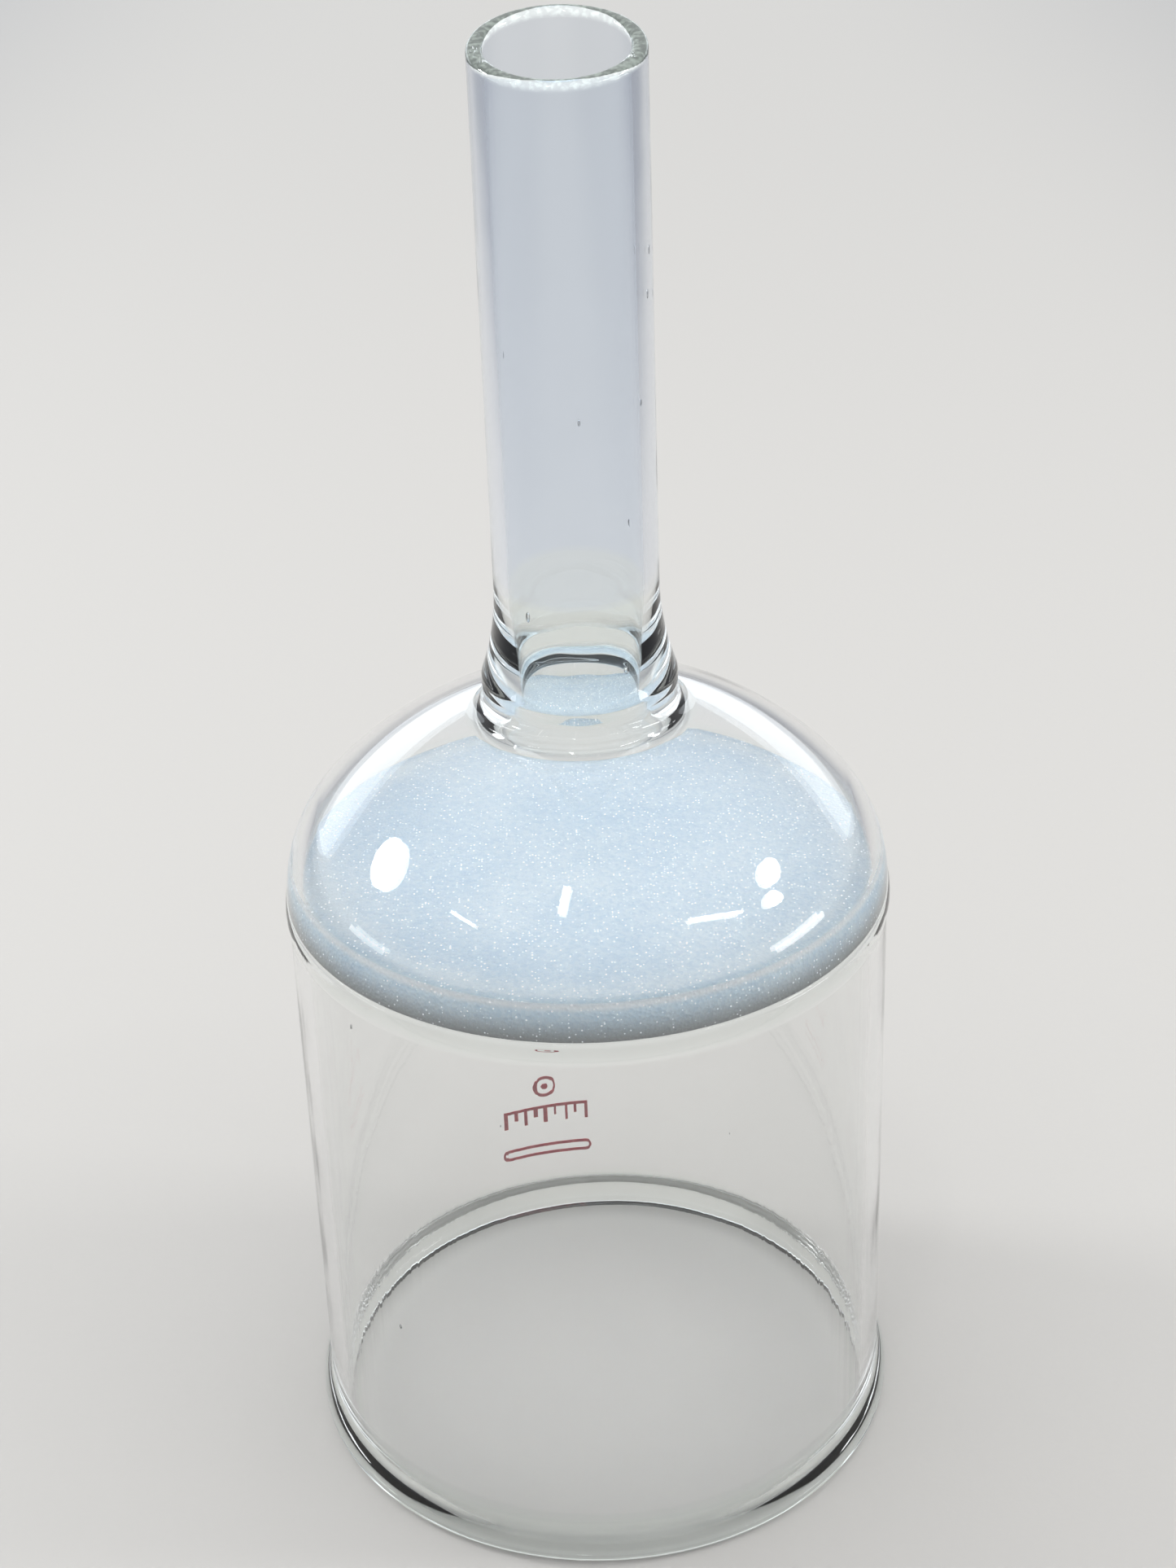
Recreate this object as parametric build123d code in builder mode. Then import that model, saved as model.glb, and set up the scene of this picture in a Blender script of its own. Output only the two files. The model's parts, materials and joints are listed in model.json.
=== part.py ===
from build123d import *
import os
from math import atan2, cos, degrees, radians, sin, sqrt, tan

# Fritted glass filter funnel standing on its rim, stem upwards, in millimetres.
# Z is the axis of the glass and the rim rests on Z = 0.  The wall is one run of
# glass worked in the flame, so the pieces below meet face to face at their welds.

# ---- driving dimensions -------------------------------------------------
bowl_outer_radius = 57.0
bowl_wall = 3.0  # the shoulder is drawn from the same tube

rim_bead_proud = 1.9  # how far the fire-polished rim stands out from the bowl
rim_height = 10.0  # where the flare ends and the straight bowl begins
rim_waist_height = 3.2  # where the bead is widest
rim_outer_round = 2.6
rim_inner_round = 1.2

disc_height = 119.5  # underside of the fritted disc above the rim plane
disc_thickness = 7.5

seal_below = 3.5  # clear glass of the seal under the disc
seal_above = 1.0  # and above it
seal_bulge = 0.5  # how far the seal stands proud of the bowl
seal_bead = 1.4  # clear fillet run round the disc's underside

knuckle_lead = 5.5  # the shoulder's knuckle starts this far below the disc's top
knuckle_radius = 24.0
shoulder_height = 38.5  # from the start of the knuckle to the crown's pole

stem_outer_radius = 15.0
stem_wall = 2.8
stem_end_height = 279.0  # middle of the obliquely cut drip end
stem_cut_angle = 11.0  # the end is lowest on the -Y side
stem_lip_round = 1.0

collar_bead_proud = 3.0  # the weld's bead, where the stem's flare meets the crown
collar_bead_side = 3.0  # straight height of the bead
collar_bead_round = 3.0  # convex top of the bead
collar_flare_rise = 18.0  # gentle flare from the bead up to the stem
collar_outer_fillet = 5.0  # concave, from the bead onto the crown
collar_inner_fillet = 6.0
collar_land = 1.0  # straight length of collar above the flare

mark_thickness = 0.08  # fired-on enamel
mark_stroke = 0.75
mark_azimuth = 102.0  # direction of the marks, turned from +X towards +Y
scale_height = 26.5  # middle of the capacity's scale of ticks above the rim plane
scale_length = 19.5
scale_gaps = 8  # between its nine ticks
long_tick = 4.6
short_tick = 2.9
grade_height = 33.8
grade_ring_radius = 2.7
name_bar_height = 17.0
name_bar_length = 21.0
name_bar_width = 3.0

# ---- worked out from the values above -----------------------------------
bowl_inner_radius = bowl_outer_radius - bowl_wall
rim_bead_radius = bowl_outer_radius + rim_bead_proud
disc_top = disc_height + disc_thickness
seal_bottom = disc_height - seal_below

knuckle_start = disc_top - knuckle_lead
knuckle_centre = (bowl_outer_radius - knuckle_radius, knuckle_start)
knuckle_inner_radius = knuckle_radius - bowl_wall
disc_top_angle = degrees(atan2(knuckle_lead, sqrt(knuckle_inner_radius**2 - knuckle_lead**2)))
seal_rise = knuckle_lead + seal_above
seal_top_angle = degrees(atan2(seal_rise, sqrt(knuckle_inner_radius**2 - seal_rise**2)))

# The crown is centred on the axis and meets the knuckle smoothly.
crown_radius = (
    shoulder_height**2 + bowl_outer_radius**2 - 2 * bowl_outer_radius * knuckle_radius
) / (2 * (shoulder_height - knuckle_radius))
crown_inner_radius = crown_radius - bowl_wall
crown_centre_z = knuckle_start + shoulder_height - crown_radius
crown_start_angle = degrees(atan2(knuckle_start - crown_centre_z, knuckle_centre[0]))

stem_inner_radius = stem_outer_radius - stem_wall
cut_rise = bowl_outer_radius * tan(radians(stem_cut_angle))


def fillet_centre(side_radius, sphere_radius, fillet_radius):
    """Centre of the arc that joins a tube's side to the crown, as (radius, height)."""
    r = side_radius + fillet_radius
    return (r, crown_centre_z + sqrt((sphere_radius + fillet_radius) ** 2 - r**2))


collar_bead_radius = stem_outer_radius + collar_bead_proud
outer_fillet_centre = fillet_centre(
    collar_bead_radius, crown_radius, collar_outer_fillet
)
inner_fillet_centre = fillet_centre(
    stem_inner_radius, crown_inner_radius, collar_inner_fillet
)
outer_weld_angle = degrees(
    atan2(outer_fillet_centre[1] - crown_centre_z, outer_fillet_centre[0])
)
inner_weld_angle = degrees(
    atan2(inner_fillet_centre[1] - crown_centre_z, inner_fillet_centre[0])
)
bead_shoulder = outer_fillet_centre[1] + collar_bead_side
flare_top = bead_shoulder + collar_flare_rise
flare_turn = 2 * atan2(collar_bead_proud, collar_flare_rise)
flare_meeting = (
    collar_bead_radius - collar_bead_round * (1 - cos(flare_turn)),
    bead_shoulder + collar_bead_round * sin(flare_turn),
)
collar_top = flare_top + collar_land


def arc(centre, radius, start, end):
    """An arc about a centre on the half-section, between two directions in degrees."""
    return CenterArc(centre, radius, start, end - start)


# ---- bowl: the straight tube --------------------------------------------
with BuildPart() as bowl:
    with BuildSketch(Plane.XY.offset(rim_height)):
        Circle(bowl_outer_radius)
        Circle(bowl_inner_radius, mode=Mode.SUBTRACT)
    extrude(amount=seal_bottom - rim_height)

# ---- rim: flared out and fire-polished, flat where it rests ---------------
flare_rise = rim_height - rim_waist_height
flare_middle = (bowl_outer_radius + rim_bead_proud / 2, rim_waist_height + flare_rise / 2)

with BuildPart() as bowl_rim:
    with BuildSketch(Plane.XZ):
        with BuildLine():
            Line(
                (bowl_inner_radius, rim_height),
                (bowl_inner_radius, rim_inner_round),
            )
            arc(
                (bowl_inner_radius + rim_inner_round, rim_inner_round),
                rim_inner_round,
                180,
                270,
            )
            Line(
                (bowl_inner_radius + rim_inner_round, 0),
                (rim_bead_radius - rim_outer_round, 0),
            )
            arc(
                (rim_bead_radius - rim_outer_round, rim_outer_round),
                rim_outer_round,
                270,
                360,
            )
            Line((rim_bead_radius, rim_outer_round), (rim_bead_radius, rim_waist_height))
            TangentArc((rim_bead_radius, rim_waist_height), flare_middle, tangent=(0, 1))
            TangentArc((bowl_outer_radius, rim_height), flare_middle, tangent=(0, -1))
            Line((bowl_outer_radius, rim_height), (bowl_inner_radius, rim_height))
        make_face()
    revolve(axis=Axis.Z)

# ---- fritted disc: sintered glass, its edge follows the wall --------------
with BuildPart() as fritted_disc:
    with BuildSketch(Plane.XZ):
        with BuildLine():
            Line((0, disc_top), (0, disc_height))
            Line((0, disc_height), (bowl_inner_radius, disc_height))
            Line((bowl_inner_radius, disc_height), (bowl_inner_radius, knuckle_start))
            disc_edge = arc(knuckle_centre, knuckle_inner_radius, 0, disc_top_angle)
            Line(disc_edge @ 1, (0, disc_top))
        make_face()
    revolve(axis=Axis.Z)

# ---- disc seal: the ring of wall that the disc is melted into -------------
with BuildPart() as disc_seal:
    with BuildSketch(Plane.XZ):
        with BuildLine():
            Line((bowl_inner_radius, seal_bottom), (bowl_outer_radius, seal_bottom))
            ThreePointArc(
                (bowl_outer_radius, seal_bottom),
                (bowl_outer_radius + seal_bulge, (seal_bottom + knuckle_start) / 2),
                (bowl_outer_radius, knuckle_start),
            )
            seal_outer = arc(knuckle_centre, knuckle_radius, 0, seal_top_angle)
            seal_inner = arc(knuckle_centre, knuckle_inner_radius, 0, seal_top_angle)
            Line(seal_outer @ 1, seal_inner @ 1)
            Line((bowl_inner_radius, knuckle_start), (bowl_inner_radius, disc_height))
            Line(
                (bowl_inner_radius, disc_height),
                (bowl_inner_radius - seal_bead, disc_height),
            )
            arc(
                (bowl_inner_radius - seal_bead, disc_height - seal_bead),
                seal_bead,
                0,
                90,
            )
            Line(
                (bowl_inner_radius, disc_height - seal_bead),
                (bowl_inner_radius, seal_bottom),
            )
        make_face()
    revolve(axis=Axis.Z)

# ---- shoulder: knuckle and crown closing the bowl towards the stem --------
with BuildPart() as shoulder:
    with BuildSketch(Plane.XZ):
        with BuildLine():
            knuckle_outer = arc(
                knuckle_centre, knuckle_radius, seal_top_angle, crown_start_angle
            )
            knuckle_inner = arc(
                knuckle_centre, knuckle_inner_radius, seal_top_angle, crown_start_angle
            )
            crown_outer = arc(
                (0, crown_centre_z), crown_radius, crown_start_angle, outer_weld_angle
            )
            crown_inner = arc(
                (0, crown_centre_z),
                crown_inner_radius,
                crown_start_angle,
                inner_weld_angle,
            )
            Line(knuckle_outer @ 0, knuckle_inner @ 0)
            Line(crown_outer @ 1, crown_inner @ 1)
        make_face()
    revolve(axis=Axis.Z)

# ---- stem collar: the weld's bead and the flare that runs up into the stem --
with BuildPart() as stem_collar:
    with BuildSketch(Plane.XZ):
        with BuildLine():
            weld_outer = arc(
                outer_fillet_centre, collar_outer_fillet, 180, 180 + outer_weld_angle
            )
            weld_inner = arc(
                inner_fillet_centre, collar_inner_fillet, 180, 180 + inner_weld_angle
            )
            Line(weld_outer @ 1, weld_inner @ 1)
            Line(weld_outer @ 0, (collar_bead_radius, bead_shoulder))
            TangentArc((collar_bead_radius, bead_shoulder), flare_meeting, tangent=(0, 1))
            TangentArc((stem_outer_radius, flare_top), flare_meeting, tangent=(0, -1))
            Line((stem_outer_radius, flare_top), (stem_outer_radius, collar_top))
            Line((stem_outer_radius, collar_top), (stem_inner_radius, collar_top))
            Line((stem_inner_radius, collar_top), weld_inner @ 0)
        make_face()
    revolve(axis=Axis.Z)

# ---- stem: straight tube with an oblique, fire-polished drip end ----------
cut_plane = Plane(
    origin=(0, 0, stem_end_height),
    x_dir=(1, 0, 0),
    z_dir=(0, -sin(radians(stem_cut_angle)), sqrt(1 - sin(radians(stem_cut_angle)) ** 2)),
)
with BuildPart() as stem:
    with BuildSketch(Plane.XY.offset(collar_top)):
        Circle(stem_outer_radius)
        Circle(stem_inner_radius, mode=Mode.SUBTRACT)
    extrude(amount=stem_end_height + cut_rise - collar_top)
    split(bisect_by=cut_plane, keep=Keep.BOTTOM)
    lip_edges = stem.faces().sort_by(Axis.Z)[-1].edges()
    fillet(lip_edges, radius=stem_lip_round)


# ---- fired-on enamel marks on the outside of the bowl ---------------------
# They read the right way up with the stem pointing down, so each is drawn on a
# plane that faces outwards with its own up direction along -Z, and keeps only
# the thin skin that lies on the glass.
mark_reach = bowl_outer_radius + 3.0


def mark_plane(height):
    """Drawing plane just outside the bowl, its X to the reader's right."""
    facing = Vector(1, 0, 0).rotate(Axis.Z, mark_azimuth)
    reader_right = facing.cross(Vector(0, 0, 1))
    return Plane(
        origin=facing * mark_reach + Vector(0, 0, height),
        x_dir=reader_right,
        z_dir=facing,
    )


def keep_skin(height, span):
    """Trims the part in hand to the enamel's thickness on the bowl's outer face."""
    with BuildSketch(Plane.XY.offset(height - span)) as ring:
        Circle(bowl_outer_radius + mark_thickness)
        Circle(bowl_outer_radius, mode=Mode.SUBTRACT)
    extrude(ring.sketch, amount=2 * span, mode=Mode.INTERSECT)


mark_margin = 5.0  # half the height of the band that holds a mark
tick_pitch = (scale_length - mark_stroke) / scale_gaps
tick_x = [tick_pitch * (place - scale_gaps / 2) for place in range(scale_gaps + 1)]
tick_foot = -long_tick / 2

with BuildPart() as capacity_mark:
    with BuildSketch(mark_plane(scale_height)):
        with Locations((0, tick_foot)):
            Rectangle(scale_length, mark_stroke, align=(Align.CENTER, Align.MIN))
        with Locations(*[(x, tick_foot) for x in tick_x[0::2]]):
            Rectangle(mark_stroke, long_tick, align=(Align.CENTER, Align.MIN))
        with Locations(*[(x, tick_foot) for x in tick_x[1::2]]):
            Rectangle(mark_stroke, short_tick, align=(Align.CENTER, Align.MIN))
    extrude(amount=-2 * (mark_reach - bowl_outer_radius))
    keep_skin(scale_height, mark_margin)

with BuildPart() as grade_mark:
    with BuildSketch(mark_plane(grade_height)):
        Circle(grade_ring_radius)
        Circle(grade_ring_radius - mark_stroke, mode=Mode.SUBTRACT)
        Circle(mark_stroke)
    extrude(amount=-2 * (mark_reach - bowl_outer_radius))
    keep_skin(grade_height, mark_margin)

with BuildPart() as name_bar:
    with BuildSketch(mark_plane(name_bar_height)):
        SlotOverall(name_bar_length, name_bar_width)
        SlotOverall(
            name_bar_length - 2 * mark_stroke,
            name_bar_width - 2 * mark_stroke,
            mode=Mode.SUBTRACT,
        )
    extrude(amount=-2 * (mark_reach - bowl_outer_radius))
    keep_skin(name_bar_height, mark_margin)

# ---- one file for each piece ----------------------------------------------
pieces = {
    "bowl": bowl,
    "bowl_rim": bowl_rim,
    "disc_seal": disc_seal,
    "fritted_disc": fritted_disc,
    "shoulder": shoulder,
    "stem_collar": stem_collar,
    "stem": stem,
    "capacity_mark": capacity_mark,
    "grade_mark": grade_mark,
    "name_bar": name_bar,
}

os.makedirs("parts", exist_ok=True)
for label, piece in pieces.items():
    piece.part.label = label
    export_step(piece.part, f"parts/{label}.step")
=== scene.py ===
"""Fritted glass filter funnel standing on its rim, stem upwards.

The glass is one run of tube worked in the flame.  Each piece below is a closed
body of its own, and where two of them meet the faces of the weld are clear all
the way through, so light crosses a weld as it does in one fused wall.
"""

from __future__ import annotations

import json
import logging
import math
import random
from dataclasses import dataclass, field
from enum import Enum
from typing import Any, Iterable, Optional, Sequence, Union

import bpy
from mathutils import Matrix, Vector

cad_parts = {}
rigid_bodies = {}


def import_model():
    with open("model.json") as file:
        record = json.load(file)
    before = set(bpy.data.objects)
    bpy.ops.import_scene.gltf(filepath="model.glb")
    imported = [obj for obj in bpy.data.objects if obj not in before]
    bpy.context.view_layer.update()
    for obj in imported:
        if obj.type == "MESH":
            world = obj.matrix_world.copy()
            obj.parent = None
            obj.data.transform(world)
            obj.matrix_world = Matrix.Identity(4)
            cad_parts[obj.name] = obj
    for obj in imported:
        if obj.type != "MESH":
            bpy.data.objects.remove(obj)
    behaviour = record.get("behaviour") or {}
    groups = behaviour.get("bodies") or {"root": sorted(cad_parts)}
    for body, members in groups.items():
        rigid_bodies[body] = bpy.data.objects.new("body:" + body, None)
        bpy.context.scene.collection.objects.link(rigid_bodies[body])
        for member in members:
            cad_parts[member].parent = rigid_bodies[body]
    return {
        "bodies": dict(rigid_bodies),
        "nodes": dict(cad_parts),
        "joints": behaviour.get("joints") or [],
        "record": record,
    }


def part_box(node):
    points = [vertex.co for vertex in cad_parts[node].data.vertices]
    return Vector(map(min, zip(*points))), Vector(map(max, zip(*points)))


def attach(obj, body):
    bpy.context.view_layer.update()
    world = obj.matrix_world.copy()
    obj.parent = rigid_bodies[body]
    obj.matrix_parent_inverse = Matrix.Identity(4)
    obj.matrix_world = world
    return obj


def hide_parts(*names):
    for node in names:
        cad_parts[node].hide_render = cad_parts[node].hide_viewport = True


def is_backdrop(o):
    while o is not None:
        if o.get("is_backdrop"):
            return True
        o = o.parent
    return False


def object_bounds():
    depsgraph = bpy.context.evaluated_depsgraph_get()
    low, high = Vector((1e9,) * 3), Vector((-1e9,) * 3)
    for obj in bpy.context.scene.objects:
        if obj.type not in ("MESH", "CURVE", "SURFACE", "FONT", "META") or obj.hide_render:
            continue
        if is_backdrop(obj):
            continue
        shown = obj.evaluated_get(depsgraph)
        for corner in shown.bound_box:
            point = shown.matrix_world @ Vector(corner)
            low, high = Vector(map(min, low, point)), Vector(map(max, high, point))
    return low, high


LOG = logging.getLogger("funnel")
MM = 0.001
ROUND_STEPS = 240  # faces round a turned piece
SMOOTH_ANGLE = 34.0  # edges sharper than this many degrees stay sharp
SAME_POINT = 1e-6  # metres within which two points of a section are one
JOIN_WITHIN = 2e-6  # metres within which two vertices are one
WELD_REACH = 6e-6  # metres within which a vertex lies on a weld
CUT_REACH = 4e-6  # metres within which a vertex lies on the cut end
GLASS_IOR = 1.473

Point = tuple[float, float]
Span = tuple[float, float]
Colour = tuple[float, float, float]
Number = Union[float, "Signal"]

BLACK: Colour = (0.0, 0.0, 0.0)
WHITE: Colour = (1.0, 1.0, 1.0)


# ---- shader maths -----------------------------------------------------------


class Signal:
    """A shader socket that takes part in Python arithmetic."""

    def __init__(self, recipe: "Recipe", socket: bpy.types.NodeSocket) -> None:
        """Wraps a socket.

        Args:
            recipe: The material recipe that the socket belongs to.
            socket: The output socket that carries the value.
        """
        self.recipe = recipe
        self.socket = socket

    def __add__(self, other: Number) -> "Signal":
        """Sum."""
        return self.recipe.math("ADD", self, other)

    def __radd__(self, other: Number) -> "Signal":
        """Sum with a number on the left."""
        return self.recipe.math("ADD", other, self)

    def __sub__(self, other: Number) -> "Signal":
        """Difference."""
        return self.recipe.math("SUBTRACT", self, other)

    def __rsub__(self, other: Number) -> "Signal":
        """Difference from a number."""
        return self.recipe.math("SUBTRACT", other, self)

    def __mul__(self, other: Number) -> "Signal":
        """Product."""
        return self.recipe.math("MULTIPLY", self, other)

    def __pow__(self, other: Number) -> "Signal":
        """Power."""
        return self.recipe.math("POWER", self, other)

    def step(self, low: float, high: float) -> "Signal":
        """Rises smoothly from 0 at low to 1 at high."""
        made = self.recipe.node(
            "ShaderNodeMapRange",
            {"interpolation_type": "SMOOTHSTEP"},
            {"Value": self, "From Min": low, "From Max": high},
        )
        return Signal(self.recipe, made.outputs["Result"])


class Recipe:
    """A node tree under construction, for a material or the world."""

    def __init__(self, owner: Any) -> None:
        """Starts an empty tree.

        Args:
            owner: The material or world whose nodes are built.
        """
        owner.use_nodes = True
        self.owner = owner
        self.tree = owner.node_tree
        self.tree.nodes.clear()

    def node(
        self,
        kind: str,
        settings: Optional[dict[str, Any]] = None,
        inputs: Optional[dict[Any, Any]] = None,
    ) -> bpy.types.Node:
        """Adds any node.

        Args:
            kind: The node's type.
            settings: Its own settings, and "stops" for a ramp's colours.
            inputs: The values or links of its sockets, by name or number.

        Returns:
            The node.
        """
        made = self.tree.nodes.new(kind)
        for key, value in (settings or {}).items():
            if key != "stops":
                setattr(made, key, value)
                continue
            ramp = made.color_ramp
            while len(ramp.elements) < len(value):
                ramp.elements.new(0.5)
            for element, (place, colour) in zip(ramp.elements, value):
                element.position = place
                element.color = (*colour, 1.0)
        for key, value in (inputs or {}).items():
            if isinstance(value, Signal):
                self.tree.links.new(value.socket, made.inputs[key])
            else:
                made.inputs[key].default_value = value
        return made

    def math(self, operation: str, a: Number, b: Number = 0.0) -> Signal:
        """One Math node on two values."""
        made = self.node("ShaderNodeMath", {"operation": operation}, {0: a, 1: b})
        return Signal(self, made.outputs[0])

    def place(self, stretch: Sequence[float] = (1.0, 1.0, 1.0)) -> Signal:
        """The point on the piece, in metres, with each axis multiplied."""
        coords = Signal(self, self.node("ShaderNodeTexCoord").outputs["Object"])
        made = self.node("ShaderNodeMapping", None, {"Vector": coords, "Scale": tuple(stretch)})
        return Signal(self, made.outputs["Vector"])

    def axes(self) -> tuple[Signal, Signal, Signal]:
        """The point's distance from the axis of the glass, its depth and its height."""
        split = self.node("ShaderNodeSeparateXYZ", None, {0: self.place()})
        x, y, z = (Signal(self, split.outputs[i]) for i in range(3))
        return (x * x + y * y) ** 0.5, y, z

    def noise(self, where: Signal, scale: float, detail: float = 2.0) -> Signal:
        """Cloudy noise, about 0.5 on average."""
        made = self.node(
            "ShaderNodeTexNoise", None, {"Vector": where, "Scale": scale, "Detail": detail}
        )
        return Signal(self, made.outputs[0])

    def cells(self, where: Signal, scale: float) -> tuple[Signal, Signal]:
        """Grains: the distance from a grain's middle, and one random number a grain."""
        made = self.node("ShaderNodeTexVoronoi", None, {"Vector": where, "Scale": scale})
        split = self.node(
            "ShaderNodeSeparateColor", None, {0: Signal(self, made.outputs["Color"])}
        )
        return Signal(self, made.outputs["Distance"]), Signal(self, split.outputs[0])

    def blend(self, share: Number, low: Any, high: Any) -> Signal:
        """A colour between two colours."""
        ends = [c if isinstance(c, Signal) else (*c, 1.0) for c in (low, high)]
        made = self.node(
            "ShaderNodeMix",
            {"data_type": "RGBA", "clamp_factor": True},
            {0: share, 6: ends[0], 7: ends[1]},
        )
        return Signal(self, made.outputs[2])

    def bump(self, height: Signal) -> Signal:
        """A normal from a height in millimetres."""
        made = self.node("ShaderNodeBump", None, {"Height": height, "Distance": MM})
        return Signal(self, made.outputs["Normal"])

    def surface(self, inputs: dict[Any, Any], kind: str = "ShaderNodeBsdfPrincipled") -> None:
        """Ends the tree in one surface shader."""
        shader = self.node(kind, None, inputs)
        end = "World" if kind == "ShaderNodeBackground" else "Material"
        self.node(f"ShaderNodeOutput{end}", None, {0: Signal(self, shader.outputs[0])})


# ---- finishes -----------------------------------------------------------------


class Slot(Enum):
    """Material slots of the record that the new pieces stand for, named only in the log."""

    GLASS = "clear_glass"
    SINTERED = "sintered_glass"


class Hue(Enum):
    """Tint of borosilicate glass by how thick and how much worked it is."""

    TUBE = (0.960, 0.963, 0.960)
    STEM = (0.880, 0.914, 0.962)
    WELD = (0.935, 0.958, 0.945)
    RIM = (0.935, 0.962, 0.942)


@dataclass(frozen=True)
class ClearGlass:
    """Flame-worked borosilicate glass with the slow waves and draw lines of a tube."""

    name: str
    hue: Hue
    wave: float = 0.10
    wave_scale: float = 38.0
    draw: float = 0.006
    draw_stretch: tuple[float, float, float] = (620.0, 620.0, 9.0)
    smudge: float = 0.02
    smudge_stretch: tuple[float, float, float] = (60.0, 60.0, 40.0)
    worked: float = 0.992  # how much of the tint is left where the glass was worked most
    lip: Optional[tuple[float, float]] = None  # its middle height, and slant in degrees
    # Painted glow at the lip, its colour and strength: an emission that stands in for light piped
    # along the wall.
    painted_end_glow_tone: Colour = (0.74, 0.86, 0.78)
    painted_end_glow_strength: float = 0.45

    def make(self) -> bpy.types.Material:
        """Builds the material.

        Returns:
            The finished material.
        """
        recipe = Recipe(bpy.data.materials.new(self.name))
        slow = recipe.noise(recipe.place(), self.wave_scale, 1.0)
        lines = recipe.noise(recipe.place(self.draw_stretch), 1.0, 2.0)
        marks = recipe.noise(recipe.place(self.smudge_stretch), 1.0, 5.0).step(0.58, 0.75)
        low = tuple(c * self.worked for c in self.hue.value)
        inputs = {
            "Base Color": recipe.blend(slow.step(0.35, 0.65), low, self.hue.value),
            "Roughness": marks * self.smudge,
            "IOR": GLASS_IOR,
            "Transmission Weight": 1.0,
            "Normal": recipe.bump(slow * self.wave + lines * self.draw),
        }
        # Painted glow: emission at the lip, not real light.
        if self.lip is not None:
            glow = self.painted_end_glow_mask(recipe, *self.lip)
            inputs["Emission Color"] = recipe.blend(glow, BLACK, self.painted_end_glow_tone)
            inputs["Emission Strength"] = self.painted_end_glow_strength
        recipe.surface(inputs)
        return recipe.owner

    @staticmethod
    def painted_end_glow_mask(recipe: Recipe, height: float, slant: float) -> Signal:
        """Painted glow at the cut end: an emission that stands in for light the wall gathers and
        lets out there.

        Args:
            recipe: The material's recipe.
            height: Height of the end's middle.
            slant: Slant of the end, in degrees.

        Returns:
            One at the very end, with specks, and nothing 1.5 mm below it.
        """
        tilt = math.radians(slant)
        _, y, z = recipe.axes()
        end = height * math.cos(tilt)
        along = z * math.cos(tilt) - y * math.sin(tilt)
        near = along.step(end - 1.5 * MM, end - 0.3 * MM)
        specks = recipe.noise(recipe.place(), 900.0, 2.0).step(0.40, 0.70)
        return near * (0.45 + specks * 0.55)


@dataclass(frozen=True)
class WeldFace:
    """The inside of a weld, where one glass runs on into the next."""

    name: str = "weld_inside"

    def make(self) -> bpy.types.Material:
        """Builds the material.

        Returns:
            The finished material.
        """
        recipe = Recipe(bpy.data.materials.new(self.name))
        recipe.surface({"Base Color": (*WHITE, 1.0), "Alpha": 0.0, "Roughness": 0.0})
        return recipe.owner


@dataclass(frozen=True)
class SeedAir:
    """Air in a seed, seen from inside the glass."""

    name: str = "seed_air"
    tone: Colour = (0.96, 0.97, 0.97)
    skin_scale: float = 9000.0

    def make(self) -> bpy.types.Material:
        """Builds the material.

        Returns:
            The finished material.
        """
        recipe = Recipe(bpy.data.materials.new(self.name))
        skin = recipe.noise(recipe.place(), self.skin_scale, 1.0)
        colour = recipe.blend(skin, self.tone, WHITE)
        recipe.surface({"Color": colour, "IOR": 1 / GLASS_IOR}, "ShaderNodeBsdfGlass")
        return recipe.owner


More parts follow.
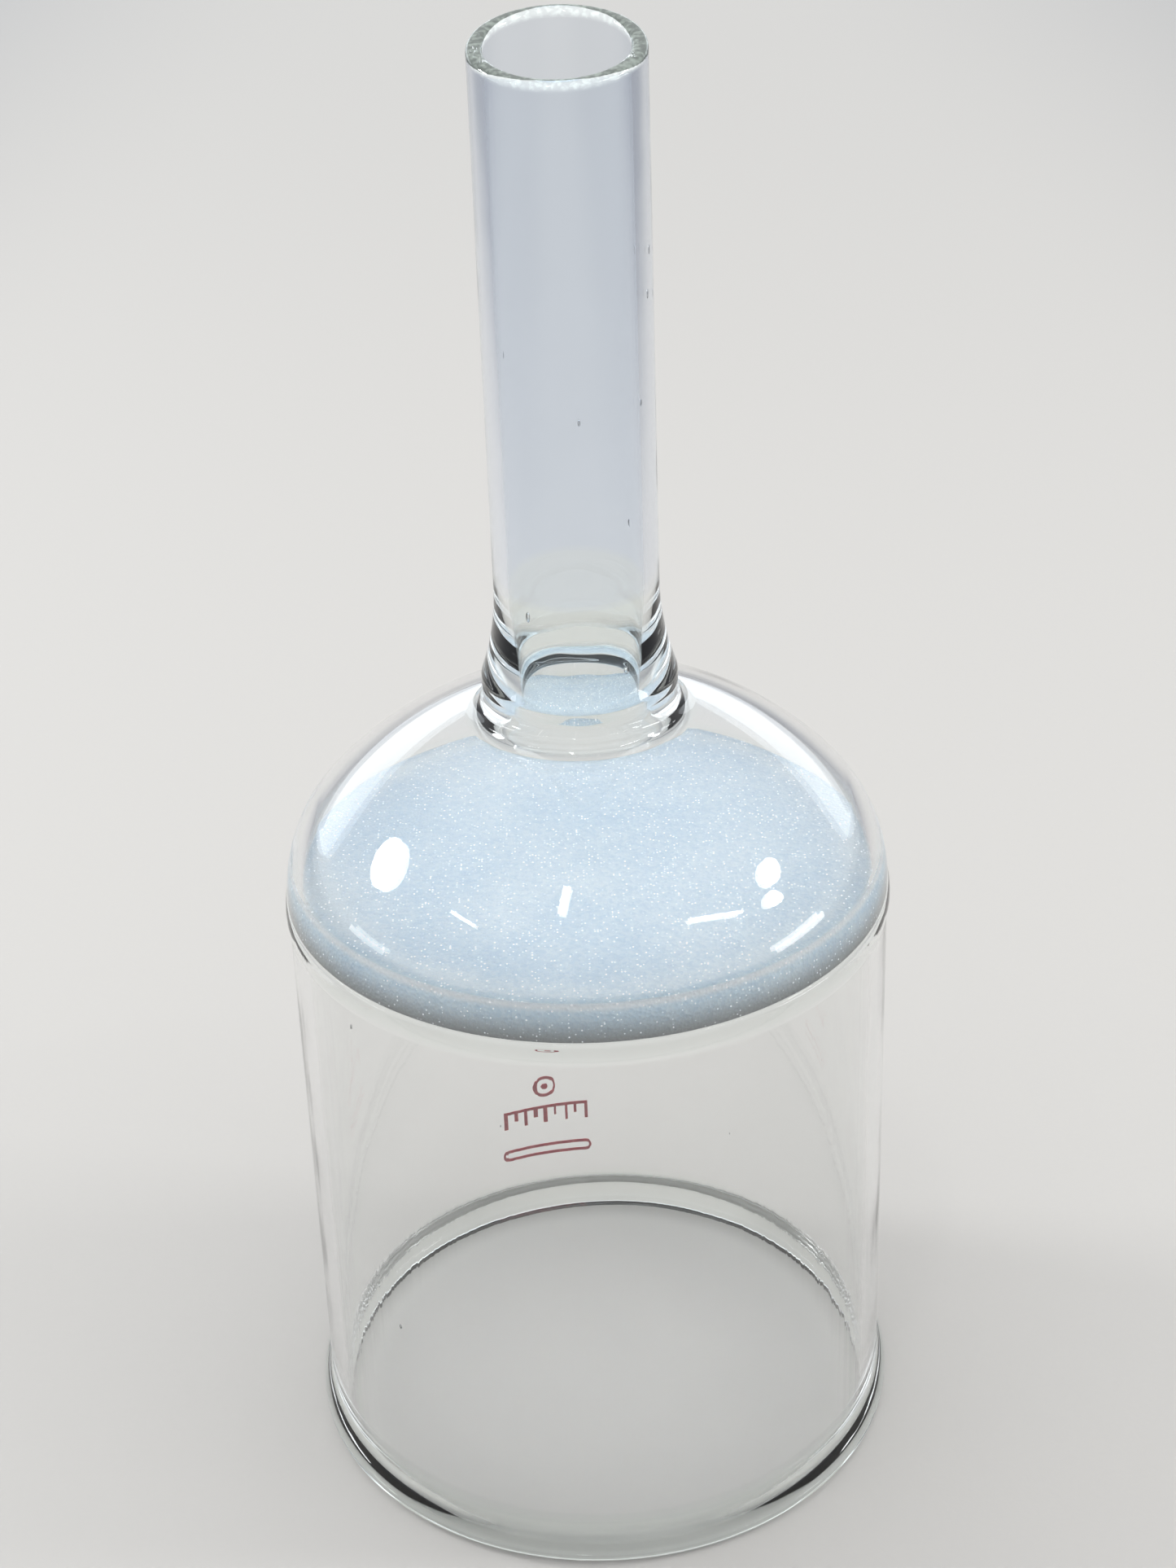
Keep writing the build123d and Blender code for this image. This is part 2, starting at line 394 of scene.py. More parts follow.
@dataclass(frozen=True)
class SinteredGlass:
    """Porous disc of sintered glass grains: cloudy blue white, with painted glints and painted
    light and shade round its edge.
    """

    top: float
    thickness: float
    radius: float
    name: str = "sintered_glass"
    shade: Colour = (0.57, 0.735, 0.885)
    light: Colour = (0.83, 0.935, 1.0)
    # edge: painted shade, the dark grey that the disc's side turns to towards its underside.
    edge: Colour = (0.33, 0.335, 0.335)
    # line: painted highlight along the top edge of the disc's side.
    line: Colour = (0.98, 0.99, 1.0)
    painted_glint_colour: Colour = (0.92, 0.96, 1.0)
    painted_glint_strength: float = 1.1
    cloud_scale: float = 42.0
    grain_scale: float = 1500.0
    glint_scale: float = 1800.0
    fine_scale: float = 3600.0

    def make(self) -> bpy.types.Material:
        """Builds the material.

        Returns:
            The finished material.
        """
        recipe = Recipe(bpy.data.materials.new(self.name))
        where = recipe.place()
        radius, _, height = recipe.axes()
        clouds = recipe.noise(where, self.cloud_scale, 3.0).step(0.30, 0.72)
        middle, grain = recipe.cells(where, self.grain_scale)
        spot, glint = recipe.cells(where, self.glint_scale)
        fine = recipe.noise(where, self.fine_scale, 2.0)

        # The face: painted light in a halo inside its edge, and a faint ring of painted shade next
        # to the glass.
        share = clouds * 0.42 + grain * 0.42 + fine * 0.16
        painted_rim_light = self.towards_edge(radius, 9.0, 4.0) * 0.40
        painted_edge_shade = self.towards_edge(radius, 3.0, 1.8) * 0.30
        body = recipe.blend(share + painted_rim_light - painted_edge_shade, self.shade, self.light)

        # The side: painted shade greys it towards the underside, under a painted highlight along
        # its top edge.
        side = self.towards_edge(radius, 1.2, 0.4)
        depth = (self.top - height) * (1.0 / self.thickness)
        ragged = depth + (fine - 0.5) * 0.22
        body = recipe.blend(side * ragged.step(0.12, 1.02), body, self.edge)
        line = side * (1.0 - depth.step(0.05, 0.24))
        body = recipe.blend(line * 0.9, body, self.line)

        # Painted glints: the middles of a few random grains, white and glowing, standing in for
        # grains that catch the light.
        painted_glint = glint.step(0.74, 0.95) * (1.0 - spot.step(0.16, 0.36)) * (1.0 - side * 0.5)
        recipe.surface(
            {
                "Base Color": recipe.blend(painted_glint, body, WHITE),
                "Roughness": 0.62 - painted_glint * 0.35,
                "Emission Color": recipe.blend(painted_glint, BLACK, self.painted_glint_colour),
                "Emission Strength": self.painted_glint_strength,
                "Normal": recipe.bump(middle * 0.22 + fine * 0.06 + clouds * 0.10),
            }
        )
        return recipe.owner

    def towards_edge(self, radius: Signal, start: float, end: float) -> Signal:
        """Rises from 0 to 1 between two distances from the disc's edge.

        Args:
            radius: Distance from the axis.
            start: Millimetres from the edge where it starts to rise.
            end: Millimetres from the edge where it is 1.

        Returns:
            The signal.
        """
        return radius.step(self.radius - start * MM, self.radius - end * MM)


@dataclass(frozen=True)
class RedEnamel:
    """Fired-on enamel, a little patchy where the screen left it thin."""

    name: str = "red_enamel"
    full: Colour = (0.46, 0.030, 0.050)
    thin: Colour = (0.62, 0.090, 0.110)
    patch_scale: float = 900.0
    pit_scale: float = 5200.0

    def make(self) -> bpy.types.Material:
        """Builds the material.

        Returns:
            The finished material.
        """
        recipe = Recipe(bpy.data.materials.new(self.name))
        where = recipe.place()
        patch = recipe.noise(where, self.patch_scale, 3.0).step(0.35, 0.70)
        pits = recipe.noise(where, self.pit_scale, 2.0)
        recipe.surface(
            {
                "Base Color": recipe.blend(patch, self.full, self.thin),
                "Roughness": 0.32 + patch * 0.18,
                "Normal": recipe.bump(pits * 0.012),
            }
        )
        return recipe.owner


@dataclass(frozen=True)
class PaleFloor:
    """Plain pale studio floor: painted shade darkens it towards the sides, and painted light makes
    it paler under the bowl.
    """

    name: str = "studio_floor"
    lit: Colour = (0.500, 0.485, 0.460)
    # Painted light under the bowl, paler than the lit floor.
    painted_fill_light: Colour = (0.78, 0.755, 0.715)
    shade: Colour = (0.26, 0.265, 0.28)
    half_width: float = 0.42
    half_depth: float = 2.2
    fall_off: Span = (0.55, 1.7)  # where it starts and ends, in half sizes
    # The radii between which the painted light under the bowl fades out.
    painted_fill_reach: Span = (49.0 * MM, 57.0 * MM)  # radii between which the clean patch ends
    tooth_scale: float = 700.0

    def make(self) -> bpy.types.Material:
        """Builds the material.

        Returns:
            The finished material.
        """
        recipe = Recipe(bpy.data.materials.new(self.name))
        stretch = (1.0 / self.half_width, 1.0 / self.half_depth, 1.0)
        split = recipe.node("ShaderNodeSeparateXYZ", None, {0: recipe.place(stretch)})
        x, y = (Signal(recipe, split.outputs[i]) for i in range(2))
        away = ((x * x + y * y) ** 0.5).step(*self.fall_off)
        tooth = recipe.noise(recipe.place(), self.tooth_scale, 3.0)
        # Painted light: the floor is paler under the bowl, to lift the bowl's shadow there.
        radius = recipe.axes()[0]
        painted_fill_share = 1.0 - radius.step(*self.painted_fill_reach)
        paper = recipe.blend(tooth * 0.04, recipe.blend(painted_fill_share, self.lit, self.painted_fill_light), self.shade)
        recipe.surface(
            {
                "Base Color": recipe.blend(away, paper, self.shade),
                "Roughness": 0.9,
                "Normal": recipe.bump(tooth * 0.02),
            }
        )
        return recipe.owner


# ---- modelling by hand ----------------------------------------------------------


def deselect_all() -> None:
    """Leaves object mode's selection empty."""
    bpy.ops.object.select_all(action="DESELECT")


def single_out(piece: bpy.types.Object) -> None:
    """Makes one piece the only selected and the active object."""
    deselect_all()
    piece.select_set(True)
    bpy.context.view_layer.objects.active = piece


def edit(piece: bpy.types.Object) -> None:
    """Enters edit mode on one piece alone."""
    single_out(piece)
    bpy.ops.object.mode_set(mode="EDIT")


def leave() -> None:
    """Back to object mode."""
    bpy.ops.object.mode_set(mode="OBJECT")


def choose(piece: bpy.types.Object, kind: str) -> None:
    """Empties a piece's selection and says what is selected next.

    Args:
        piece: The piece.
        kind: VERT, EDGE or FACE.
    """
    edit(piece)
    bpy.ops.mesh.select_mode(type=kind)
    bpy.ops.mesh.select_all(action="DESELECT")
    leave()


def arc(centre: Point, radius: float, start: float, end: float, steps: int) -> list[Point]:
    """Points of an arc on the half-section.

    Args:
        centre: Its centre, as radius and height.
        radius: Its radius.
        start: Direction of its first point, in degrees.
        end: Direction of its last point, in degrees.
        steps: Number of straight steps.

    Returns:
        The points, both ends included.
    """
    turns = [math.radians(start + (end - start) * i / steps) for i in range(steps + 1)]
    return [(centre[0] + radius * math.cos(t), centre[1] + radius * math.sin(t)) for t in turns]


def line(start: Point, end: Point, steps: int) -> list[Point]:
    """Points of a straight run, both ends included."""
    spans = [i / steps for i in range(steps + 1)]
    return [
        (start[0] + (end[0] - start[0]) * s, start[1] + (end[1] - start[1]) * s) for s in spans
    ]


def tidy_outline(runs: Iterable[Sequence[Point]]) -> list[Point]:
    """Joins runs end to end and drops points that repeat.

    Args:
        runs: The runs in order round the section.

    Returns:
        The closed outline, its first point not repeated.
    """
    outline: list[Point] = []
    for point in (p for run in runs for p in run):
        if not outline or math.dist(point, outline[-1]) > SAME_POINT:
            outline.append(point)
    if math.dist(outline[0], outline[-1]) < SAME_POINT:
        outline.pop()
    return outline


def turned(name: str, outline: Sequence[Point], closed: bool = True) -> bpy.types.Object:
    """Draws a half-section point by point and spins it about the axis.

    Args:
        name: Name of the piece.
        outline: The half-section, as radius and height.
        closed: Whether the last point joins the first.

    Returns:
        The turned piece, its faces outwards, at the origin.
    """
    deselect_all()
    bpy.ops.mesh.primitive_circle_add(vertices=3, radius=MM, location=(0.0, 0.0, 0.0))
    piece = bpy.context.active_object
    piece.name = piece.data.name = name
    edit(piece)
    bpy.ops.mesh.select_mode(type="VERT")
    bpy.ops.mesh.select_all(action="SELECT")
    bpy.ops.mesh.merge(type="CENTER")
    bpy.ops.transform.translate(value=(outline[0][0], 0.0, outline[0][1]))
    for here, there in zip(outline, outline[1:]):
        step = (there[0] - here[0], 0.0, there[1] - here[1])
        bpy.ops.mesh.extrude_vertices_move(TRANSFORM_OT_translate={"value": step})
    if closed:
        leave()
        choose(piece, "VERT")
        for end in (0, len(outline) - 1):
            piece.data.vertices[end].select = True
        edit(piece)
        bpy.ops.mesh.edge_face_add()
    bpy.ops.mesh.select_all(action="SELECT")
    bpy.ops.mesh.spin(
        steps=ROUND_STEPS,
        angle=2 * math.pi,
        center=(0.0, 0.0, 0.0),
        axis=(0.0, 0.0, 1.0),
    )
    close_up()
    return piece


def close_up() -> None:
    """Joins the vertices that meet, turns all faces outwards and leaves edit mode."""
    bpy.ops.mesh.select_all(action="SELECT")
    bpy.ops.mesh.remove_doubles(threshold=JOIN_WITHIN)
    bpy.ops.mesh.select_all(action="SELECT")
    bpy.ops.mesh.normals_make_consistent(inside=False)
    leave()


def away_from(point: Point, start: Point, end: Point) -> float:
    """Distance of a point from a straight piece of the half-section."""
    run = (end[0] - start[0], end[1] - start[1])
    length = run[0] ** 2 + run[1] ** 2
    along = ((point[0] - start[0]) * run[0] + (point[1] - start[1]) * run[1]) / length
    along = min(1.0, max(0.0, along))
    return math.dist(point, (start[0] + run[0] * along, start[1] + run[1] * along))


def dress(
    piece: bpy.types.Object,
    finish: bpy.types.Material,
    inside: Optional[bpy.types.Material] = None,
    welds: Sequence[Sequence[Point]] = (),
) -> None:
    """Gives a piece its finish, and its weld faces theirs.

    Args:
        piece: The piece.
        finish: Material of its outer and inner faces.
        inside: Material of the faces of its welds.
        welds: Lines of the half-section that are welds.
    """
    piece.data.materials.clear()
    piece.data.materials.append(finish)
    if inside is not None:
        piece.data.materials.append(inside)
        spans = [pair for weld in welds for pair in zip(weld, weld[1:])]
        section = [(math.hypot(v.co.x, v.co.y), v.co.z) for v in piece.data.vertices]
        near = [
            {i for i, span in enumerate(spans) if away_from(point, *span) < WELD_REACH}
            for point in section
        ]
        choose(piece, "FACE")
        for face in piece.data.polygons:
            face.select = bool(set.intersection(*(near[v] for v in face.vertices)))
        piece.active_material_index = 1
        edit(piece)
        bpy.ops.object.material_slot_assign()
        leave()
        piece.active_material_index = 0
    single_out(piece)
    bpy.ops.object.shade_smooth_by_angle(angle=math.radians(SMOOTH_ANGLE))


def settle(piece: bpy.types.Object, slot: Slot, *nodes: str) -> bpy.types.Object:
    """Puts a finished piece on the body and says what it stands for.

    Args:
        piece: The finished piece.
        slot: The record's material slot.
        nodes: The CAD nodes that it replaces.

    Returns:
        The same piece.
    """
    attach(piece, "root")
    if nodes:
        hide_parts(*nodes)
    LOG.info("%s: %d faces, slot %s", piece.name, len(piece.data.polygons), slot.value)
    return piece


# ---- the glass ------------------------------------------------------------------


@dataclass(frozen=True)
class Datum:
    """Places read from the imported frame, and the shoulder's shape worked out from them."""

    bowl_radius: float
    rim_radius: float
    rim_top: float
    seal_bottom: float
    disc_bottom: float
    disc_top: float
    stem_radius: float
    collar_top: float
    wall: float = 3.0 * MM
    stem_wall: float = 2.8 * MM
    knuckle_lead: float = 5.5 * MM
    knuckle_radius: float = 24.0 * MM
    shoulder_height: float = 38.5 * MM
    seal_above: float = 1.0 * MM

    @classmethod
    def read(cls) -> "Datum":
        """Reads the frame's boxes.

        Returns:
            The places of this funnel.
        """
        bowl, rim, disc, stem = (
            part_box(node) for node in ("bowl", "bowl_rim", "fritted_disc", "stem")
        )
        return cls(
            bowl_radius=bowl[1].x,
            rim_radius=rim[1].x,
            rim_top=bowl[0].z,
            seal_bottom=bowl[1].z,
            disc_bottom=disc[0].z,
            disc_top=disc[1].z,
            stem_radius=stem[1].x,
            collar_top=stem[0].z,
        )

    @property
    def inner(self) -> float:
        """Inner radius of the bowl."""
        return self.bowl_radius - self.wall

    @property
    def knuckle(self) -> Point:
        """Centre of the knuckle's section."""
        return (self.bowl_radius - self.knuckle_radius, self.disc_top - self.knuckle_lead)

    @property
    def knuckle_inner(self) -> float:
        """Inner radius of the knuckle's section."""
        return self.knuckle_radius - self.wall

    @property
    def disc_top_angle(self) -> float:
        """Direction on the knuckle of the disc's top edge, in degrees."""
        return math.degrees(math.asin(self.knuckle_lead / self.knuckle_inner))

    @property
    def seal_top_angle(self) -> float:
        """Direction on the knuckle of the weld above the seal, in degrees."""
        rise = self.knuckle_lead + self.seal_above
        return math.degrees(math.asin(rise / self.knuckle_inner))

    @property
    def crown_radius(self) -> float:
        """Outer radius of the crown."""
        square = self.shoulder_height**2 + self.bowl_radius**2
        square -= 2 * self.bowl_radius * self.knuckle_radius
        return square / (2 * (self.shoulder_height - self.knuckle_radius))

    @property
    def crown(self) -> Point:
        """Centre of the crown."""
        return (0.0, self.knuckle[1] + self.shoulder_height - self.crown_radius)

    @property
    def crown_start(self) -> float:
        """Direction where the knuckle runs into the crown, in degrees."""
        return math.degrees(math.atan2(self.knuckle[1] - self.crown[1], self.knuckle[0]))

    def fillet(self, side: float, sphere: float, radius: float) -> tuple[Point, float]:
        """Centre of the fillet between a tube's side and the crown, and its weld's direction.

        Args:
            side: Radius of the tube's side.
            sphere: Radius of the crown's face.
            radius: Radius of the fillet.

        Returns:
            The centre, and the direction in degrees.
        """
        out = side + radius
        rise = math.sqrt((sphere + radius) ** 2 - out**2)
        return (out, self.crown[1] + rise), math.degrees(math.atan2(rise, out))


@dataclass
class Bowl:
    """Straight tube of the bowl and its flared, fire-polished rim."""

    datum: Datum
    waist: float = 3.2 * MM
    outer_round: float = 2.6 * MM
    inner_round: float = 1.2 * MM

    def build(self, inside: bpy.types.Material) -> list[bpy.types.Object]:
        """Models and dresses the bowl and its rim.

        Args:
            inside: Material of the weld faces.

        Returns:
            The pieces.
        """
        return [self.tube(inside), self.rim(inside)]

    def tube(self, inside: bpy.types.Material) -> bpy.types.Object:
        """The straight tube."""
        d = self.datum
        outline = tidy_outline(
            [
                line((d.inner, d.rim_top), (d.bowl_radius, d.rim_top), 1),
                line((d.bowl_radius, d.rim_top), (d.bowl_radius, d.seal_bottom), 24),
                line((d.bowl_radius, d.seal_bottom), (d.inner, d.seal_bottom), 1),
                line((d.inner, d.seal_bottom), (d.inner, d.rim_top), 24),
            ]
        )
        piece = turned("bowl_glass", outline)
        welds = [
            [(d.inner, d.rim_top), (d.bowl_radius, d.rim_top)],
            [(d.inner, d.seal_bottom), (d.bowl_radius, d.seal_bottom)],
        ]
        dress(piece, ClearGlass("glass_bowl", Hue.TUBE).make(), inside, welds)
        return settle(piece, Slot.GLASS, "bowl")

    def rim(self, inside: bpy.types.Material) -> bpy.types.Object:
        """The rim: flared out in two smooth arcs to a polished bead."""
        d = self.datum
        proud = d.rim_radius - d.bowl_radius
        rise = d.rim_top - self.waist
        chord = math.hypot(proud / 2, rise / 2)
        bend = (chord / 2) / math.sin(math.atan2(proud / 2, rise / 2))
        turn = math.degrees(2 * math.atan2(proud / 2, rise / 2))
        outer, inner = self.outer_round, self.inner_round
        outline = tidy_outline(
            [
                line((d.inner, d.rim_top), (d.inner, inner), 6),
                arc((d.inner + inner, inner), inner, 180, 270, 10),
                line((d.inner + inner, 0.0), (d.rim_radius - outer, 0.0), 2),
                arc((d.rim_radius - outer, outer), outer, 270, 360, 14),
                line((d.rim_radius, outer), (d.rim_radius, self.waist), 2),
                arc((d.rim_radius - bend, self.waist), bend, 0, turn, 10),
                arc((d.bowl_radius + bend, d.rim_top), bend, 180 + turn, 180, 10),
                line((d.bowl_radius, d.rim_top), (d.inner, d.rim_top), 1),
            ]
        )
        piece = turned("rim_glass", outline)
        weld = [(d.inner, d.rim_top), (d.bowl_radius, d.rim_top)]
        finish = ClearGlass("glass_rim", Hue.RIM, wave=0.16, wave_scale=70.0, draw=0.0)
        dress(piece, finish.make(), inside, [weld])
        return settle(piece, Slot.GLASS, "bowl_rim")


@dataclass
class DiscAndSeal:
    """The sintered disc and the ring of clear wall that it is melted into."""

    datum: Datum
    bulge: float = 0.5 * MM
    bead: float = 1.4 * MM
    melt: float = 0.02 * MM  # how far the disc reaches into the glass that holds it
    relief: float = 0.22 * MM
    relief_scale: float = 9 * MM
    relief_fade: Span = (2.5 * MM, 4 * MM)  # level next to the glass, then rising to full

    def build(self, inside: bpy.types.Material) -> list[bpy.types.Object]:
        """Models and dresses the seal and the disc.

        Args:
            inside: Material of the weld faces.

        Returns:
            The pieces.
        """
        return [self.seal(inside), self.disc()]

    def seal(self, inside: bpy.types.Material) -> bpy.types.Object:
        """The ring of wall round the disc, with its bead below."""
        d = self.datum
        knee = d.knuckle[1]
        half = (knee - d.seal_bottom) / 2
        swell = (half**2 + self.bulge**2) / (2 * self.bulge)
        spread = math.degrees(math.asin(half / swell))
        middle = (d.bowl_radius + self.bulge - swell, d.seal_bottom + half)
        touch = arc(d.knuckle, d.knuckle_inner, d.disc_top_angle, 0, 10)
        corner = (d.inner, d.disc_bottom)
        tip = (d.inner - self.bead, d.disc_bottom)
        outline = tidy_outline(
            [
                line((d.inner, d.seal_bottom), (d.bowl_radius, d.seal_bottom), 1),
                arc(middle, swell, -spread, spread, 12),
                arc(d.knuckle, d.knuckle_radius, 0, d.seal_top_angle, 12),
                arc(d.knuckle, d.knuckle_inner, d.seal_top_angle, d.disc_top_angle, 3),
                touch,
                line((d.inner, knee), corner, 2),
                line(corner, tip, 1),
                arc((tip[0], tip[1] - self.bead), self.bead, 90, 0, 12),
                line((d.inner, d.disc_bottom - self.bead), (d.inner, d.seal_bottom), 2),
            ]
        )
        piece = turned("disc_seal_glass", outline)
        top = [
            arc(d.knuckle, radius, d.seal_top_angle, d.seal_top_angle + 1, 1)[0]
            for radius in (d.knuckle_inner, d.knuckle_radius)
        ]
        bottom = [(d.inner, d.seal_bottom), (d.bowl_radius, d.seal_bottom)]
        welds = [top, bottom, touch, [(d.inner, knee), corner], [corner, tip]]
        finish = ClearGlass("glass_seal", Hue.WELD, wave=0.20, wave_scale=80.0)
        dress(piece, finish.make(), inside, welds)
        return settle(piece, Slot.GLASS, "disc_seal")

    def disc(self) -> bpy.types.Object:
        """The porous disc, its top and underside a little uneven."""
        d = self.datum
        low = d.disc_bottom - self.melt
        edge = arc(d.knuckle, d.knuckle_inner + self.melt, d.disc_top_angle, 0, 10)
        edge[0] = (edge[0][0], d.disc_top)
        outline = tidy_outline(
            [
                line((0.0, d.disc_top), edge[0], 40),
                edge,
                line(edge[-1], (d.inner + self.melt, low), 4),
                line((d.inner + self.melt, low), (0.0, low), 40),
            ]
        )
        piece = turned("sintered_disc", outline, closed=False)
        group = piece.vertex_groups.new(name="faces")
        level, fade = self.relief_fade
        for vertex in piece.data.vertices:
            inwards = d.inner - level - math.hypot(vertex.co.x, vertex.co.y)
            group.add([vertex.index], min(1.0, max(0.0, inwards / fade)), "REPLACE")
        grain = bpy.data.textures.new("disc_relief", "CLOUDS")
        grain.noise_scale = self.relief_scale
        grain.noise_depth = 2
        relief = piece.modifiers.new("relief", "DISPLACE")
        relief.texture = grain
        relief.texture_coords = "LOCAL"
        relief.direction = "Z"
        relief.strength = self.relief
        relief.mid_level = 0.5
        relief.vertex_group = "faces"
        single_out(piece)
        bpy.ops.object.modifier_apply(modifier="relief")
        piece.vertex_groups.clear()
        finish = SinteredGlass(d.disc_top, d.disc_top - d.disc_bottom, d.inner)
        dress(piece, finish.make())
        return settle(piece, Slot.SINTERED, "fritted_disc")


@dataclass
class Shoulder:
    """Knuckle and crown that close the bowl, and the weld that carries the stem."""

    datum: Datum
    bead_proud: float = 3.0 * MM
    bead_side: float = 3.0 * MM
    bead_round: float = 3.0 * MM
    flare_rise: float = 18.0 * MM
    outer_fillet: float = 5.0 * MM
    inner_fillet: float = 6.0 * MM

    def build(self, inside: bpy.types.Material) -> list[bpy.types.Object]:
        """Models and dresses the shoulder and the stem's collar.

        Args:
            inside: Material of the weld faces.

        Returns:
            The pieces.
        """
        d = self.datum
        bead = d.stem_radius + self.bead_proud
        outer, outer_turn = d.fillet(bead, d.crown_radius, self.outer_fillet)
        inner, inner_turn = d.fillet(
            d.stem_radius - d.stem_wall, d.crown_radius - d.wall, self.inner_fillet
        )
        start, blend = d.seal_top_angle, d.crown_start
        crown_out = arc(d.crown, d.crown_radius, blend, outer_turn, 26)
        crown_in = arc(d.crown, d.crown_radius - d.wall, inner_turn, blend, 26)
        foot = arc(d.knuckle, d.knuckle_radius, start, blend, 20)
        heel = arc(d.knuckle, d.knuckle_inner, blend, start, 20)
        shell = turned("shoulder_glass", tidy_outline([foot, crown_out, crown_in, heel]))
        neck = [crown_out[-1], crown_in[0]]
        finish = ClearGlass("glass_shoulder", Hue.TUBE, wave=0.13, wave_scale=34.0, draw=0.0)
        dress(shell, finish.make(), inside, [neck, [foot[0], heel[-1]]])

        top_out = (d.stem_radius, d.collar_top)
        top_in = (d.stem_radius - d.stem_wall, d.collar_top)
        # The collar swells to a bead at its foot and draws in to the stem above it.
        side_top = outer[1] + self.bead_side
        turn = math.degrees(2 * math.atan2(self.bead_proud, self.flare_rise))
        sweep = self.flare_rise / math.sin(math.radians(turn)) - self.bead_round
        hollow = (d.stem_radius + sweep, side_top + self.flare_rise)
        collar = turned(
            "collar_glass",
            tidy_outline(
                [
                    arc(outer, self.outer_fillet, 180 + outer_turn, 180, 16),
                    line((bead, outer[1]), (bead, side_top), 2),
                    arc((bead - self.bead_round, side_top), self.bead_round, 0, turn, 8),
                    arc(hollow, sweep, 180 + turn, 180, 24),
                    line((d.stem_radius, hollow[1]), top_out, 1),
                    line(top_out, top_in, 1),
                    line(top_in, (top_in[0], inner[1]), 8),
                    arc(inner, self.inner_fillet, 180, 180 + inner_turn, 24),
                ]
            ),
        )
        finish = ClearGlass("glass_collar", Hue.WELD, wave=0.14, wave_scale=110.0, draw=0.0)
        dress(collar, finish.make(), inside, [neck, [top_out, top_in]])
        return [
            settle(shell, Slot.GLASS, "shoulder"),
            settle(collar, Slot.GLASS, "stem_collar"),
        ]


@dataclass
class Stem:
    """Straight stem with an oblique, fire-polished drip end."""

    datum: Datum
    cut_angle: float = 11.0
    end_height: float = 279.0 * MM
    lip_round: float = 1.0 * MM
    lip_segments: int = 6
    ring_slack: float = 0.5 * MM  # by how much an edge of the lip may leave its circle
    supports: tuple[float, ...] = (1.5, 3.0, 12.0, 40.0, 70.0)  # rings below the end, in mm

    def build(self, inside: bpy.types.Material) -> list[bpy.types.Object]:
        """Models and dresses the stem.

        Args:
            inside: Material of the weld faces.

        Returns:
            The piece.
        """
        d = self.datum
        bore = d.stem_radius - d.stem_wall
        over = self.end_height + d.stem_radius
        outline = tidy_outline(
            [
                line((bore, d.collar_top), (d.stem_radius, d.collar_top), 1),
                line((d.stem_radius, d.collar_top), (d.stem_radius, over), 1),
                line((d.stem_radius, over), (bore, over), 1),
                line((bore, over), (bore, d.collar_top), 1),
            ]
        )
        piece = turned("stem_glass", outline)
        self.cut_end(piece)
        weld = [(bore, d.collar_top), (d.stem_radius, d.collar_top)]
        finish = ClearGlass(
            "glass_stem",
            Hue.STEM,
            wave_scale=60.0,
            draw=0.010,
            # The drip end gets the painted glow.
            lip=(self.end_height, self.cut_angle),
        )
        dress(piece, finish.make(), inside, [weld])
        return [settle(piece, Slot.GLASS, "stem")]

    def cut_end(self, piece: bpy.types.Object) -> None:
        """Cuts the drip end on the slant and rounds both its edges.

        Args:
            piece: The straight tube.
        """
        tilt = math.radians(self.cut_angle)
        facing = Vector((0.0, -math.sin(tilt), math.cos(tilt)))
        middle = Vector((0.0, 0.0, self.end_height))
        edit(piece)
        for drop in (0.0, *self.supports):
            bpy.ops.mesh.select_all(action="SELECT")
            bpy.ops.mesh.bisect(
                plane_co=middle - Vector((0.0, 0.0, drop * MM)),
                plane_no=facing,
                clear_outer=drop == 0.0,
                threshold=SAME_POINT,
            )
        leave()
        for joining in (True, False):
            choose(piece, "EDGE")
            mesh = piece.data
            flat = [abs((v.co - middle).dot(facing)) < CUT_REACH for v in mesh.vertices]
            ways = [math.hypot(v.co.x, v.co.y) for v in mesh.vertices]
            for edge in mesh.edges:
                a, b = edge.vertices
                along_ring = abs(ways[a] - ways[b]) < self.ring_slack
                edge.select = flat[a] and flat[b] and along_ring
            edit(piece)
            if joining:
                bpy.ops.mesh.bridge_edge_loops()
            else:
                bpy.ops.mesh.bevel(
                    offset=self.lip_round,
                    segments=self.lip_segments,
                    profile=0.5,
                    affect="EDGES",
                )
            leave()
        edit(piece)
        bpy.ops.mesh.select_mode(type="VERT")
        close_up()


